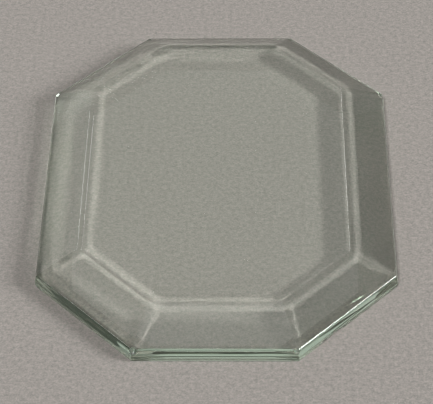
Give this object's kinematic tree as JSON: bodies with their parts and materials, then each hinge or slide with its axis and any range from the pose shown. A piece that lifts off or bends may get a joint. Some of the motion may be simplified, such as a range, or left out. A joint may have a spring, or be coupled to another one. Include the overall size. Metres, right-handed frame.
{
  "type": "bevelled glass plate",
  "caption": "Octagonal slab of clear plate glass with a wide polished bevel around its flat top and thin upright edges, to set in lead came, foil or a frame.",
  "frame": {"origin": "centre of the flat underside, on the surface the plate lies on", "axes": "+Z out of the bevelled top face, +Y along the length, +X along the width"},
  "size_m": [0.0762, 0.1016, 0.0079],
  "materials": {
    "clear_glass": "polished, with a faint green tint at the edges"
  },
  "bodies": {
    "root": {"bevelled_plate": "clear_glass"}
  },
  "joints": []
}
